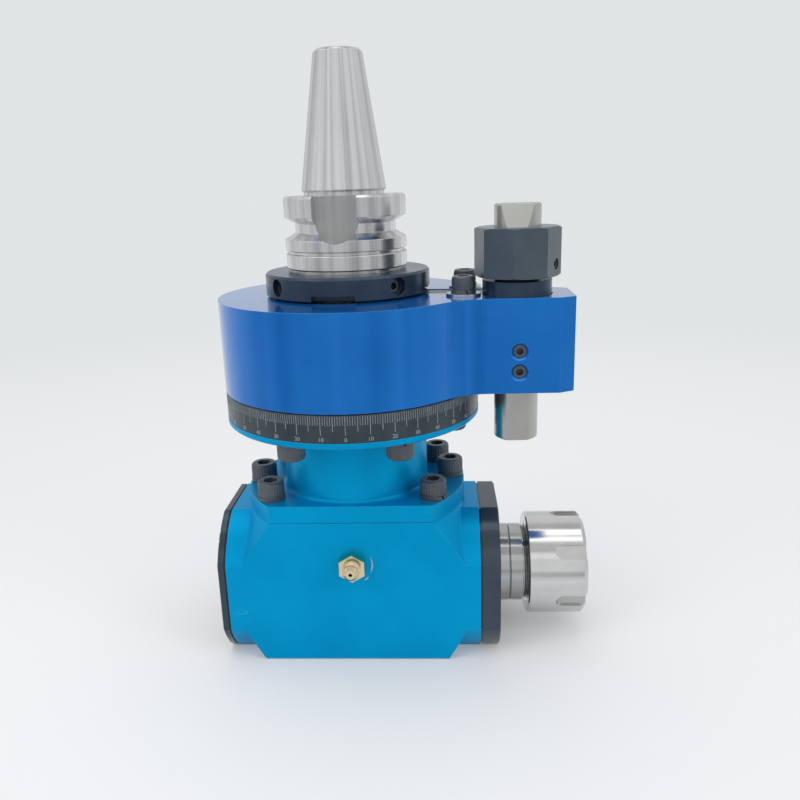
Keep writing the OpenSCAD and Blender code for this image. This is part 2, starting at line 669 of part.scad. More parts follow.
// plan of the arm: round part, pin block and the hollow webs between them
module arm_shape() {
    circle(r = arm_r);
    polygon([[0, near_y], [arm_end - 5.5, near_y], [arm_end, near_y + 3], [arm_end, far_y - 3],
        [arm_end - 5.5, far_y], [0, far_y]]);
    difference() {
        polygon([[0, 0], near_c, [near_c[0], near_y + 2]]);
        translate(near_c) circle(r = web_r);
    }
    difference() {
        polygon([[0, 0], [far_c[0], far_y - 2], far_c]);
        translate(far_c) circle(r = far_r);
    }
}

module stop_arm() color("RoyalBlue") difference() {
    translate([0, 0, arm_bot]) linear_extrude(arm_t) arm_shape();
    translate([0, 0, arm_bot - 1]) cylinder(h = lip_t + 1.1, r = lip_r);
    translate([0, 0, arm_bot + lip_t]) cylinder(h = tee_top - arm_bot - lip_t, r = tee_r);
    translate([0, 0, tee_top - 1]) cylinder(h = lip_top - tee_top + 1, r = spigot_r + run_fit);
    translate([0, 0, lip_top - 1]) cylinder(h = 60, r = throat_r);
    rotate([0, 0, 150]) translate([lip_r - 4, -7.6, arm_bot - 1]) cube([tee_r - lip_r + 4, 15.2, lip_t + 2]);
    translate([pin_x, -pin_off, 0]) {
        translate([0, 0, arm_bot - 1]) cylinder(h = arm_t, r = pin_r + run_fit);
        translate([0, 0, spring_floor]) cylinder(h = arm_t, r = cup_r + 0.4);
        translate([0, 0, pocket_floor]) cylinder(h = arm_t, r = sleeve_r + free_gap);
    }
    for (z = guide_z) translate([pin_x, near_y, z]) rotate([-90, 0, 0]) {
        translate([0, 0, -1]) cylinder(h = pin_block_w / 2, r = guide_r + seat_fit);
        translate([0, 0, -0.2]) cylinder(h = 1, r1 = guide_r + 0.95, r2 = guide_r - 0.05);
    }
    rotate([0, 0, key_angle]) {
        translate([0, -key_w / 2 - free_gap, pocket_floor]) cube([key_out + 1, key_w + 2 * free_gap, arm_t]);
        for (p = key_screws) translate([p[0], p[1], arm_top - 14.5]) cylinder(h = 20, r = 2.5 + seat_fit);
    }
}

module arm_screws() color("DarkSlateGray") rotate([0, 0, key_angle]) for (p = key_screws)
    translate([p[0], p[1], arm_top + arm_washer_t + lock_washer_t]) cap_screw(2.5, 14);

module arm_washers() color("LightGray") rotate([0, 0, key_angle]) for (p = key_screws)
    translate([p[0], p[1], arm_top]) tube(arm_washer_r, 2.7, arm_washer_t);

module arm_lock_washers() color("DarkSlateGray") rotate([0, 0, key_angle]) for (p = key_screws)
    translate([p[0], p[1], arm_top + arm_washer_t]) difference() {
        tube(4.6, 2.7, lock_washer_t);
        rotate([0, 0, -60]) translate([2, -0.3, -1]) rotate([25, 0, 0]) cube([4, 0.6, 5]);
    }

module pin_guide_screws() color("DarkSlateGray") for (z = guide_z)
    translate([pin_x, -pin_off - pin_flat - 0.2, z]) rotate([90, 0, 0])
        set_screw(guide_r, pin_block_w / 2 - pin_flat - 0.7);

module dust_seal() color("Black") translate([0, 0, lip_top])
    tube(throat_r - seat_fit, hub_r + free_gap, 3);

// one conical disc spring standing on z = 0, its inner or its outer rim low
module disc_spring(h, inner_low) {
    low = inner_low ? 0 : h - disc_t;
    high = h - disc_t - low;
    rotate_extrude() polygon([[pin_r + 0.6, low], [cup_r - 0.4, high], [cup_r - 0.4, high + disc_t],
        [pin_r + 0.6, low + disc_t]]);
}

module pin_spring() color("DarkGray") for (i = [0 : disc_count - 1])
    translate([pin_x, -pin_off, spring_floor + i * disc_h]) disc_spring(disc_h - 0.05, i % 2 == 0);

module stop_pin() color("LightGray") translate([pin_x, -pin_off, 0]) difference() {
    rotate_extrude() polygon([[0, pin_bot], [pin_r - 0.4, pin_bot], [pin_r, pin_bot + 0.4],
        [pin_r, sleeve_top + 0.6],
        [tip_r, sleeve_top + 1], [tip_r, pin_top - 0.5], [tip_r - 0.5, pin_top], [0, pin_top]]);
    translate([-20, -pin_flat - 20, pin_bot - 1]) cube([40, 20, pocket_floor + pin_stroke - pin_bot]);
    for (a = [0, 180]) rotate([0, 0, a - 6]) translate([-20, -tip_r + 2.33, pin_top]) rotate([-10.8, 0, 0])
        translate([0, -20, -16]) cube([40, 20, 30]);
}

module pin_nut() color("DimGray") translate([pin_x, -pin_off, pin_nut_bot]) difference() {
    intersection() {
        rotate([0, 0, -8.6]) cylinder(h = pin_nut_h, r = pin_nut_flat / 2 / cos(22.5), $fn = 8);
        rotate_extrude() polygon([[0, 0], [pin_nut_flat / 2 + 0.1, 0], [pin_nut_flat / 2 + 1.3, 0.6],
            [pin_nut_flat / 2 + 1.3, pin_nut_h - 0.6], [pin_nut_flat / 2 + 0.1, pin_nut_h], [0, pin_nut_h]]);
    }
    translate([0, 0, -1]) cylinder(h = 60, r = tip_r + seat_fit);
    rotate([0, 0, -31.1]) translate([0, 1.6, 4.4]) rotate([0, 90, 0]) cylinder(h = 40, r = 2 + seat_fit);
}

module pin_nut_screw() color("DarkSlateGray") translate([pin_x, -pin_off, pin_nut_bot + 4.4])
    rotate([0, 0, -31.1]) translate([tip_r + 0.05, 1.6, 0]) rotate([0, 90, 0])
        set_screw(2, pin_nut_flat / 2 - tip_r - 0.6);

module pin_sleeve() color("DimGray") translate([pin_x, -pin_off, 0]) difference() {
    translate([0, 0, key_bot]) cylinder(h = sleeve_top - key_bot, r = sleeve_r);
    translate([0, 0, key_bot - 1]) cylinder(h = sleeve_top - 2 - key_bot + 1, r = cup_r);
    translate([0, 0, key_bot - 1]) cylinder(h = 60, r = pin_r + seat_fit);
}

module lock_key() color("SlateGray") difference() {
    rotate([0, 0, key_angle]) translate([key_in, -key_w / 2, key_bot])
        cube([key_out - key_in, key_w, key_top - key_bot]);
    translate([pin_x, -pin_off, key_bot - 1]) cylinder(h = 20, r = sleeve_r + seat_fit);
}

gear_housing();
neck_body();
dial_ring();
clamp_nuts();
arm_bolts();
arm_bolt_washers();
neck_bolts();
neck_washers();
front_cover();
rear_cover();
front_cover_screws();
rear_cover_screws();
grease_nipple();
spindle_seal();
shank_outer_rings();
shank_ball_cages();
spindle_outer_rings();
spindle_ball_cages();
bearing_circlip();
taper_shank();
lock_ring();
lock_ring_screws();
shank_inner_rings();
shank_lock_nut();
drive_gear();
drive_gear_pin();
spindle();
spindle_gear();
spindle_gear_pin();
spindle_inner_rings();
rear_lock_nut();
extractor_ring();
collet_nut();
stop_arm();
arm_screws();
arm_washers();
arm_lock_washers();
pin_guide_screws();
dust_seal();
pin_spring();
stop_pin();
pin_nut();
pin_nut_screw();
pin_sleeve();
lock_key();
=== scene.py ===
"""Looks of the right-angle milling head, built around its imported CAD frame."""

import math

import bmesh
import bpy
from mathutils import Matrix, Vector

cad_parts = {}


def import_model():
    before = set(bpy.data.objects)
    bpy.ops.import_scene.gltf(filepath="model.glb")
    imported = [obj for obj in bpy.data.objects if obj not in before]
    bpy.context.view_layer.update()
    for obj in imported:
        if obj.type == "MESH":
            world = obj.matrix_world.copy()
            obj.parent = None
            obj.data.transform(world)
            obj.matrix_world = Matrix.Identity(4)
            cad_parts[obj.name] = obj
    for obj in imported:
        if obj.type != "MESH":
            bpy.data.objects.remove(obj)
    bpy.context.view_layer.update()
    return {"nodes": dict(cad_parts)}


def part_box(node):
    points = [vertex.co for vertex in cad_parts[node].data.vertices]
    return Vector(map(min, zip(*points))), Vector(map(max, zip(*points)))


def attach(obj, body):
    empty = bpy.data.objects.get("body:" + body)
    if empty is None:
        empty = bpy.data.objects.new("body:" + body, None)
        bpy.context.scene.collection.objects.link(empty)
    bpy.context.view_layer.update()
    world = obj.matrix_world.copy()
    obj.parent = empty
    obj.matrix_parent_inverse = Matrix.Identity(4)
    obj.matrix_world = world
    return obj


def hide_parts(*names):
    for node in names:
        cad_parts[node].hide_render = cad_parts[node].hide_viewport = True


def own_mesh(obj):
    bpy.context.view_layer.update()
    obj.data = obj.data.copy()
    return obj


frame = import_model()
nodes = frame["nodes"]
MM = 0.001

# Places taken from the CAD nodes
DIAL_LOW, DIAL_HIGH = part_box("dial_ring")
PIN_LOW, PIN_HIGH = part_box("stop_pin")
SLEEVE_LOW, SLEEVE_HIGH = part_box("pin_sleeve")
NUT_LOW, NUT_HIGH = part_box("collet_nut")
NIPPLE_LOW, NIPPLE_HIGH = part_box("grease_nipple")
BLOCK_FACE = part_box("gear_housing")[0].y
TAPER_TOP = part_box("taper_shank")[1].z
NECK_BOLT_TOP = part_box("neck_bolts")[1].z
ARM_BOLT_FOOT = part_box("arm_bolts")[0].z
ARM_SCREW_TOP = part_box("arm_screws")[1].z
PIN_CENTRE = ((PIN_LOW.x + PIN_HIGH.x) / 2, (SLEEVE_LOW.y + SLEEVE_HIGH.y) / 2, 0)
SPINDLE_CENTRE = (0, 0, (NUT_LOW.z + NUT_HIGH.z) / 2)
TOOL_CENTRE = (0, 0, 0)

# Turning axes of the finishes
ROUND_TOOL = (TOOL_CENTRE, "Z")
ROUND_PIN = (PIN_CENTRE, "Z")
ROUND_SPINDLE = (SPINDLE_CENTRE, "X")

# Milled floors of the shank's two keyways
KEYWAY_ANGLE = math.radians(86)
KEYWAY_OUT = (math.cos(KEYWAY_ANGLE), math.sin(KEYWAY_ANGLE), 0)
KEYWAY_ACROSS = (-math.sin(KEYWAY_ANGLE), math.cos(KEYWAY_ANGLE), 0)
KEYWAY_FLOOR = 16.3 * MM
KEYWAY_HALF = 8.05 * MM
KEYWAY_ROUGH = 0.5

# Painted shadow: a dark band on the pin in the shaded gap above the sleeve, its middle and half height
PIN_GAP_SHADOW = (SLEEVE_HIGH.z + 0.6 * MM, 1.2 * MM)

# Dial strokes and numbers
DIAL_R = DIAL_HIGH.y
DIAL_TOP = DIAL_HIGH.z - 0.55 * MM
DIAL_ZERO = math.radians(-87.4)
STROKE_LONG = 6.8 * MM
STROKE_MIDDLE = 5.4 * MM
STROKE_SHORT = 3.2 * MM
STROKE_HALF_WIDE = 0.1 * MM
STROKE_HALF_THIN = 0.075 * MM
STROKE_SINK = 0.06 * MM
STROKE_RISE = 0.035 * MM
NUMBER_SIZE = 2.1 * MM
NUMBER_FOOT = DIAL_LOW.z + 0.7 * MM
NUMBER_THICK = 0.05 * MM
NUMBER_SINK = 0.015 * MM

# Cap screws and their knurling
KNURL_TEETH = 30
KNURL_RIDGE = 0.16 * MM
KNURL_SINK = 0.08 * MM
KNURL_RAMP = 0.25 * MM
KNURL_FOOT = 0.5 * MM
KNURL_BARE = 0.9 * MM
BOLT_HEAD_R = 5 * MM
BOLT_HEAD_H = 6 * MM
NECK_BOLT_RING = 38.5 * MM
NECK_BOLT_ANGLES = (-35, 3, 31, 145, 183, 215)
ARM_BOLT_RING = 40 * MM
ARM_BOLT_ANGLES = (0, 60, 120, 180, 240, 300)
KEY_SCREW_HEAD_H = 5 * MM
KEY_SCREW_HEAD_R = KEY_SCREW_HEAD_H * 5 / 6
KEY_SCREW_SPOTS = ((45.4 * MM, -10.7 * MM), (44.4 * MM, 10.5 * MM))
KEY_SCREW_TURN = math.radians(-6)

# Threads
THREAD_STEPS = 40
THREAD_FADE_STEPS = 12
THREAD_SINK = 0.05 * MM
THREAD_FOOT = 0.46
THREAD_CREST = 0.06

# Arcs of the spanner mark: reach from the nipple, first and last angle in degrees
MARK_ARCS = ((7.6 * MM, -28, 24), (8.0 * MM, -58, -40))
MARK_STEPS = 14
MARK_HALF = 0.22 * MM
MARK_DEPTH = 0.02 * MM
MARK_TIP = 0.4

# Backdrop, floor and light
BACKGROUND = (0.755, 0.778, 0.785, 1)
MIRRORED_SHARE = 0.86
FLOOR_RINGS = (0.2, 0.45, 0.9, 2.0, 6.0)
FLOOR_SIDES = 48
FLOOR_PAINT = (0.745, 0.75, 0.76, 1)
FLOOR_NEAR = (0.84, 0.855, 0.875, 1)
FLOOR_DARK_BAND = (0.38, 0.39, 0.40, 1)
FLOOR_LIGHT_BAND = (0.72, 0.73, 0.74, 1)
TENT_STRENGTH = 0.78
TENT_FRONT = (0.56, 0.57, 0.58, 1)
TENT_BACK = (0.78, 0.79, 0.80, 1)
TENT_TOP = (0.86, 0.87, 0.88, 1)
ROOM_DARK_BAND = (0.58, 0.59, 0.60, 1)
ROOM_LIGHT_BAND = (0.98, 0.99, 1.0, 1)
ROOM_LOW = (0.46, 0.47, 0.48, 1)

# Overhead strips that shiny parts mirror: place from front to back and brightness there
STRIP_LIGHT = 1.7
STRIPS = (
    (0.0, 0.45), (0.16, 0.8), (0.18, 1.0), (0.235, 1.0),
    (0.26, 0.58), (0.385, 0.62), (0.4, 1.6), (0.45, 1.6),
    (0.462, 0.8), (0.475, 0.8), (0.485, 1.7), (0.555, 1.7),
    (0.575, 0.5), (0.65, 0.56), (0.7, 0.76), (1.0, 0.76),
)

# Softboxes: name, place, aim, width, height and power
SOFTBOXES = (
    ("overhead", (-0.05, 0.05, 0.75), (0, 0, 0.1), 0.7, 0.6, 2.5),
    ("left_front", (-0.55, -0.45, 0.45), (0, 0, 0.12), 0.35, 0.6, 2.2),
    ("right_front", (0.6, -0.4, 0.4), (0.02, 0, 0.12), 0.3, 0.6, 1.8),
)

# Camera, fitted to the rings of the shank, arm and nut in the photograph
CAMERA_PLACE = (0.0351, -0.3022, 0.18459)
CAMERA_YAW = math.radians(-3.12)
CAMERA_PITCH = math.radians(15.77)
CAMERA_ROLL = math.radians(-1.8)
SENSOR_MM = 36
PICTURE_PIXELS = 800
FOCAL_PIXELS = 779


def rgb(red, green, blue):
    """A colour as it looks on screen, 0 to 255, as the shader's linear values."""
    def linear(value):
        value /= 255
        return value / 12.92 if value <= 0.04045 else ((value + 0.055) / 1.055) ** 2.4
    return (linear(red), linear(green), linear(blue), 1)


# Node helpers

def make(tree, kind, settings=None, values=None):
    """A new shader node with its settings and its inputs' values."""
    node = tree.nodes.new("ShaderNode" + kind)
    for key, value in (settings or {}).items():
        setattr(node, key, value)
    for key, value in (values or {}).items():
        node.inputs[key].default_value = value
    return node


def join(tree, source, target):
    tree.links.new(source, target)


def place(tree):
    """Position on the piece, in metres."""
    return make(tree, "TexCoord").outputs["Object"]


def split(tree, vector):
    """The X, Y and Z outputs of a vector."""
    parts = make(tree, "SeparateXYZ")
    join(tree, vector, parts.inputs[0])
    return parts.outputs


def angle_of(tree, rise, run):
    made = make(tree, "Math", {"operation": "ARCTAN2"})
    join(tree, rise, made.inputs[0])
    join(tree, run, made.inputs[1])
    return made.outputs[0]


def length_of(tree, vector):
    made = make(tree, "VectorMath", {"operation": "LENGTH"})
    join(tree, vector, made.inputs[0])
    return made.outputs["Value"]


def turned_place(tree, centre, axis):
    """Distance from a turning axis, place along it and angle round it, as one vector."""
    moved = make(tree, "VectorMath", {"operation": "SUBTRACT"})
    join(tree, place(tree), moved.inputs[0])
    moved.inputs[1].default_value = centre
    parts = split(tree, moved.outputs[0])
    across, up, along = ("X", "Y", "Z") if axis == "Z" else ("Y", "Z", "X")
    flat = make(tree, "CombineXYZ")
    join(tree, parts[across], flat.inputs["X"])
    join(tree, parts[up], flat.inputs["Y"])
    both = make(tree, "CombineXYZ")
    join(tree, length_of(tree, flat.outputs[0]), both.inputs["X"])
    join(tree, parts[along], both.inputs["Y"])
    join(tree, angle_of(tree, parts[up], parts[across]), both.inputs["Z"])
    return both.outputs[0]


def noise(tree, vector, scale, detail=3.0, rough=0.55, stretch=None):
    """Noise value at a place, stretched along each axis where asked."""
    if stretch:
        pulled = make(tree, "VectorMath", {"operation": "MULTIPLY"})
        join(tree, vector, pulled.inputs[0])
        pulled.inputs[1].default_value = stretch
        vector = pulled.outputs[0]
    values = {"Scale": scale, "Detail": detail, "Roughness": rough}
    made = make(tree, "TexNoise", {"noise_dimensions": "3D"}, values)
    join(tree, vector, made.inputs["Vector"])
    return made.outputs["Fac"]


def remap(tree, value, low, high, to_low, to_high):
    """A value taken from one range to another, and held at its ends."""
    values = {"From Min": low, "From Max": high, "To Min": to_low, "To Max": to_high}
    made = make(tree, "MapRange", {"clamp": True}, values)
    join(tree, value, made.inputs["Value"])
    return made.outputs["Result"]


def math_node(tree, operation, first, second):
    """Two values or numbers put together, held between 0 and 1."""
    made = make(tree, "Math", {"operation": operation, "use_clamp": True})
    for index, value in enumerate((first, second)):
        if isinstance(value, (int, float)):
            made.inputs[index].default_value = value
        else:
            join(tree, value, made.inputs[index])
    return made.outputs[0]


def times(tree, first, second):
    return math_node(tree, "MULTIPLY", first, second)


def weighted(tree, first, first_share, second, second_share):
    """The sum of two values, each times its share."""
    return math_node(tree, "ADD", times(tree, first, first_share), times(tree, second, second_share))


def near(tree, value, middle, reach):
    """1 where a value is within reach of a middle, else 0."""
    made = make(tree, "Math", {"operation": "COMPARE"}, {1: middle, 2: reach})
    join(tree, value, made.inputs[0])
    return made.outputs[0]


def mix_colour(tree, factor, first, second):
    made = make(tree, "Mix", {"data_type": "RGBA"})
    join(tree, factor, made.inputs[0])
    for index, value in ((6, first), (7, second)):
        if isinstance(value, tuple):
            made.inputs[index].default_value = value
        else:
            join(tree, value, made.inputs[index])
    return made.outputs[2]


def mix_shader(tree, factor, first, second):
    made = make(tree, "MixShader")
    for index, source in enumerate((factor, first, second)):
        join(tree, source, made.inputs[index])
    return made.outputs[0]


def away(tree, vector, direction):
    """Distance from the plane through the tool axis that a direction stands on."""
    dot = make(tree, "VectorMath", {"operation": "DOT_PRODUCT"})
    join(tree, vector, dot.inputs[0])
    dot.inputs[1].default_value = direction
    size = make(tree, "Math", {"operation": "ABSOLUTE"})
    join(tree, dot.outputs["Value"], size.inputs[0])
    return size.outputs[0]


def edge_mask(tree, radius):
    """1 on the piece's edges and 0 on its faces, and the rounded normal that goes with it."""
    soft = make(tree, "Bevel", {"samples": 4}, {"Radius": radius})
    shape = make(tree, "NewGeometry")
    dot = make(tree, "VectorMath", {"operation": "DOT_PRODUCT"})
    join(tree, soft.outputs[0], dot.inputs[0])
    join(tree, shape.outputs["Normal"], dot.inputs[1])
    return remap(tree, dot.outputs["Value"], 0.86, 0.995, 1.0, 0.0), soft.outputs[0]


def bump(tree, height, strength, normal):
    """The normal over a fine relief of 0.05 mm at most."""
    made = make(tree, "Bump", None, {"Strength": strength, "Distance": 0.05 * MM})
    join(tree, height, made.inputs["Height"])
    join(tree, normal, made.inputs["Normal"])
    return made.outputs[0]


# Finishes

def new_material(name):
    """A new material with its node tree and main shader."""
    material = bpy.data.materials.new(name)
    material.use_nodes = True
    tree = material.node_tree
    return material, tree, tree.nodes["Principled BSDF"]


def streaked(tree, round_place, tone, share):
    """A tone with painted reflection streaks that run along a turned piece."""
    bands = noise(tree, round_place, 4.6, 4.0, 0.62, (0, 0.8, 1.5))
    return math_node(tree, "ADD", times(tree, tone, 1 - share), remap(tree, bands, 0.36, 0.64, 0.0, share))


def scratches(tree, here, strength):
    """Thin scattered lines where one level of a stretched noise passes."""
    lines = noise(tree, here, 150.0, 0.0, 0.4, (0.2, 0.6, 1.0))
    where = remap(tree, noise(tree, here, 70.0, 2.0), 0.56, 0.68, 0.0, strength)
    return times(tree, near(tree, lines, 0.5, 0.0016), where)


def keyway_mask(tree, here):
    """1 on the milled floors of the keyways, else 0."""
    level = near(tree, away(tree, here, KEYWAY_OUT), KEYWAY_FLOOR, 0.1 * MM)
    return times(tree, level, math_node(tree, "LESS_THAN", away(tree, here, KEYWAY_ACROSS), KEYWAY_HALF))


def metal(name, dark, light, wear_and_highlight_tone, rough, metallic=1.0, wear_and_highlight=0.6, edge=0.35 * MM, grain=900.0, blotch=55.0,
          turned=None, ring_depth=0.35, reflection_streak=0.0, anisotropic=0.0, scratch=0.0, coat=0.0, relief=0.12,
          gloss=0.5, painted_shadow=None, milled=False):
    """A machined metal finish: two close tones, edges lighter from wear and a painted highlight, fine grain,
    turning rings and scratches, and where asked painted reflection streaks and a painted shadow band.
    """
    material, tree, shader = new_material(name)
    shader.inputs["Metallic"].default_value = metallic
    shader.inputs["Specular IOR Level"].default_value = gloss
    here = place(tree)
    cloud = noise(tree, here, blotch, 4.0)
    tone = remap(tree, cloud, 0.32, 0.68, 0.0, 1.0)
    fine = noise(tree, here, grain, 2.0)
    if turned:
        round_place = turned_place(tree, *turned)
        rings = noise(tree, round_place, 5200.0, 2.5, 0.65, (1, 1, 0))
        fine = weighted(tree, rings, ring_depth, fine, 0.25)
        # Painted reflection: tone bands round the turned piece stand in for the streaks it mirrors
        if reflection_streak:
            tone = streaked(tree, round_place, tone, reflection_streak)
    mask, normal = edge_mask(tree, edge)
    patchy = remap(tree, noise(tree, here, 420.0, 4.0), 0.35, 0.62, 0.25, 1.0)
    mask = times(tree, times(tree, mask, patchy), wear_and_highlight)
    if scratch:
        mask = math_node(tree, "MAXIMUM", mask, scratches(tree, here, scratch))
    # Edges take the edge tone: partly real wear, partly a painted highlight
    colour = mix_colour(tree, mask, mix_colour(tree, tone, dark, light), wear_and_highlight_tone)
    spread = remap(tree, weighted(tree, cloud, 0.8, fine, 0.2), 0.2, 0.7, rough - 0.05, rough + 0.06)
    # Painted shadow: a dark band round the piece at the given height, for the shade in a gap
    if painted_shadow:
        colour = mix_colour(tree, near(tree, split(tree, here)["Z"], *painted_shadow), colour, GAP_SHADOW_TONE)
    if milled:
        cut = keyway_mask(tree, here)
        colour = mix_colour(tree, cut, colour, mix_colour(tree, tone, MILLED_DARK, MILLED_LIGHT))
        spread = math_node(tree, "MAXIMUM", spread, times(tree, cut, KEYWAY_ROUGH))
    join(tree, colour, shader.inputs["Base Color"])
    join(tree, spread, shader.inputs["Roughness"])
    join(tree, bump(tree, fine, relief, normal), shader.inputs["Normal"])
    if anisotropic:
        shader.inputs["Anisotropic"].default_value = anisotropic
        tangent = make(tree, "Tangent", {"direction_type": "RADIAL", "axis": turned[1]})
        join(tree, tangent.outputs[0], shader.inputs["Tangent"])
    if coat:
        shader.inputs["Coat Weight"].default_value = coat
        shader.inputs["Coat Roughness"].default_value = 0.1
        shader.inputs["Coat IOR"].default_value = 1.36
    return material


def matt(name, dark, light, rough):
    """Seal rubber or dial paint: matt, slightly dusty, with a fine grain."""
    material, tree, shader = new_material(name)
    here = place(tree)
    cloud = noise(tree, here, 180.0, 4.0)
    tone = remap(tree, cloud, 0.35, 0.65, 0.0, 1.0)
    join(tree, mix_colour(tree, tone, dark, light), shader.inputs["Base Color"])
    spread = remap(tree, cloud, 0.3, 0.7, rough - 0.08, rough + 0.08)
    join(tree, spread, shader.inputs["Roughness"])
    normal = make(tree, "NewGeometry").outputs["Normal"]
    join(tree, bump(tree, noise(tree, here, 1500.0, 2.0), 0.25, normal), shader.inputs["Normal"])
    return material


PALE = rgb(222, 223, 224)
# Colour of the painted shadow band on the pin
GAP_SHADOW_TONE = rgb(34, 38, 44)
MILLED_DARK = rgb(178, 179, 179)
MILLED_LIGHT = rgb(192, 193, 192)
WORN_STEEL = rgb(184, 186, 188)

# Finishes by name: dark tone, light tone, edge tone (wear and a painted highlight), roughness, and what
# differs from plain steel
METALS = {
    "cyan_anodised": (rgb(0, 146, 199), rgb(0, 156, 209), rgb(96, 190, 226), 0.34, dict(
        metallic=0.45, wear_and_highlight=0.4, grain=2600.0, scratch=0.3, blotch=30.0, gloss=0.06)),
    "blue_anodised": (rgb(0, 104, 190), rgb(4, 116, 203), rgb(116, 176, 228), 0.15, dict(
        metallic=0.55, wear_and_highlight=0.7, grain=1800.0, scratch=0.2, coat=0.9, relief=0.05, blotch=30.0, gloss=0.05)),
    "ground_steel": (rgb(194, 194, 195), rgb(234, 234, 234), PALE, 0.22, dict(
        turned=ROUND_TOOL, reflection_streak=0.85, anisotropic=0.5, relief=0.05, milled=True)),
    "spindle_steel": (rgb(204, 205, 205), rgb(224, 224, 223), PALE, 0.13, dict(
        turned=ROUND_SPINDLE, reflection_streak=0.25, anisotropic=0.2, relief=0.04)),
    # Painted shade: the spindle's nose gets a darker copy of the spindle steel for the shade and dim
    # reflections over it
    "shaded_nose_steel": (rgb(166, 168, 167), rgb(192, 193, 192), PALE, 0.16, dict(
        turned=ROUND_SPINDLE, reflection_streak=0.35, anisotropic=0.2, relief=0.04)),
    # The pin carries a painted shadow band just above the sleeve
    "pin_steel": (rgb(184, 184, 179), rgb(200, 200, 195), PALE, 0.24, dict(
        turned=ROUND_PIN, ring_depth=0.5, relief=0.05, painted_shadow=PIN_GAP_SHADOW)),
    "black_oxide": (rgb(46, 61, 77), rgb(56, 71, 87), rgb(112, 122, 130), 0.22, dict(
        metallic=0.45, wear_and_highlight=0.5, gloss=0.3, turned=ROUND_TOOL, ring_depth=0.3, scratch=0.2, relief=0.08)),
    "pin_black": (rgb(64, 78, 88), rgb(76, 90, 100), rgb(138, 148, 154), 0.3, dict(
        metallic=0.5, wear_and_highlight=0.5, coat=0.25, turned=ROUND_PIN, ring_depth=0.4, relief=0.08)),
    "sleeve_black": (rgb(40, 56, 74), rgb(52, 69, 88), rgb(110, 122, 132), 0.22, dict(
        metallic=0.6, wear_and_highlight=0.45, turned=ROUND_PIN, ring_depth=0.3, relief=0.05)),
    "cover_black": (rgb(46, 61, 72), rgb(58, 72, 83), rgb(122, 130, 136), 0.2, dict(
        metallic=0.55, wear_and_highlight=0.4, coat=0.4, turned=ROUND_SPINDLE, ring_depth=0.3, scratch=0.15, relief=0.06)),
    "black_screws": (rgb(78, 84, 90), rgb(98, 104, 110), rgb(150, 155, 160), 0.36, dict(
        metallic=0.55, wear_and_highlight=0.5, edge=0.25 * MM, grain=1500.0)),
    "dial_grey": (rgb(50, 61, 69), rgb(70, 80, 88), rgb(144, 152, 156), 0.28, dict(
        metallic=0.55, wear_and_highlight=0.5, turned=ROUND_TOOL, ring_depth=0.3, scratch=0.35, relief=0.08, reflection_streak=0.4)),
    "brass": (rgb(224, 205, 164), rgb(240, 226, 192), rgb(248, 238, 212), 0.22, dict(edge=0.2 * MM)),
    "zinc": (rgb(186, 188, 192), rgb(210, 212, 215), PALE, 0.26, dict(wear_and_highlight=0.5, edge=0.2 * MM)),
    "bearing_steel": (rgb(170, 171, 173), rgb(194, 195, 197), PALE, 0.2, dict(turned=ROUND_TOOL)),
    "gear_steel": (rgb(104, 106, 110), rgb(130, 132, 136), WORN_STEEL, 0.34, dict(wear_and_highlight=0.7)),
    "spring_steel": (rgb(112, 112, 116), rgb(138, 138, 142), WORN_STEEL, 0.34, dict(wear_and_highlight=0.5)),
}
FINISH = {name: metal(name, *tones, **rest) for name, (*tones, rest) in METALS.items()}
FINISH["seal_rubber"] = matt("seal_rubber", rgb(20, 20, 21), rgb(34, 34, 35), 0.62)
FINISH["dial_paint"] = matt("dial_paint", rgb(126, 137, 143), rgb(150, 159, 164), 0.5)

WEARS = {
    "cyan_anodised": ["gear_housing", "neck_body"],
    "blue_anodised": ["stop_arm"],
    "ground_steel": ["taper_shank"],
    "spindle_steel": ["collet_nut", "extractor_ring"],
    "shaded_nose_steel": ["spindle"],
    "pin_steel": ["stop_pin"],
    "black_oxide": ["lock_ring"],
    "pin_black": ["pin_nut"],
    "sleeve_black": ["pin_sleeve"],
    "cover_black": ["front_cover", "rear_cover"],
    "black_screws": ["neck_bolts", "neck_washers", "arm_bolts", "arm_bolt_washers", "arm_screws",
                     "arm_lock_washers", "lock_ring_screws", "pin_guide_screws", "pin_nut_screw",
                     "front_cover_screws", "rear_cover_screws"],
    "dial_grey": ["dial_ring"],
    "brass": ["grease_nipple", "shank_ball_cages", "spindle_ball_cages"],
    "zinc": ["arm_washers"],
    "bearing_steel": ["shank_outer_rings", "shank_inner_rings", "spindle_outer_rings", "spindle_inner_rings",
                      "drive_gear_pin", "spindle_gear_pin"],
    "gear_steel": ["drive_gear", "spindle_gear", "clamp_nuts", "lock_key", "shank_lock_nut", "rear_lock_nut"],
    "spring_steel": ["pin_spring", "bearing_circlip"],
    "seal_rubber": ["spindle_seal", "dust_seal"],
}
for finish, members in WEARS.items():
    for member in members:
        mesh = nodes[member].data
        if not mesh.materials:
            mesh.materials.append(FINISH[finish])
        for index in range(len(mesh.materials)):
            mesh.materials[index] = FINISH[finish]


# Added pieces

def added(name, data):
    """A new object in the scene."""
    made = bpy.data.objects.new(name, data)
    bpy.context.scene.collection.objects.link(made)
    return made


def piece(name, mesh, finish, body):
    """Puts a new mesh piece in the scene, on its body."""
    made = added(name, mesh)
    mesh.materials.clear()
    mesh.materials.append(FINISH[finish])
    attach(made, body)
    return made


def finished(shape, name):
    """The mesh of a shape, with its faces turned outwards."""
    bmesh.ops.recalc_face_normals(shape, faces=shape.faces)
    mesh = bpy.data.meshes.new(name)
    shape.to_mesh(mesh)
    shape.free()
    return mesh


def round_point(radius, angle, height):
    return Vector((radius * math.cos(angle), radius * math.sin(angle), height))


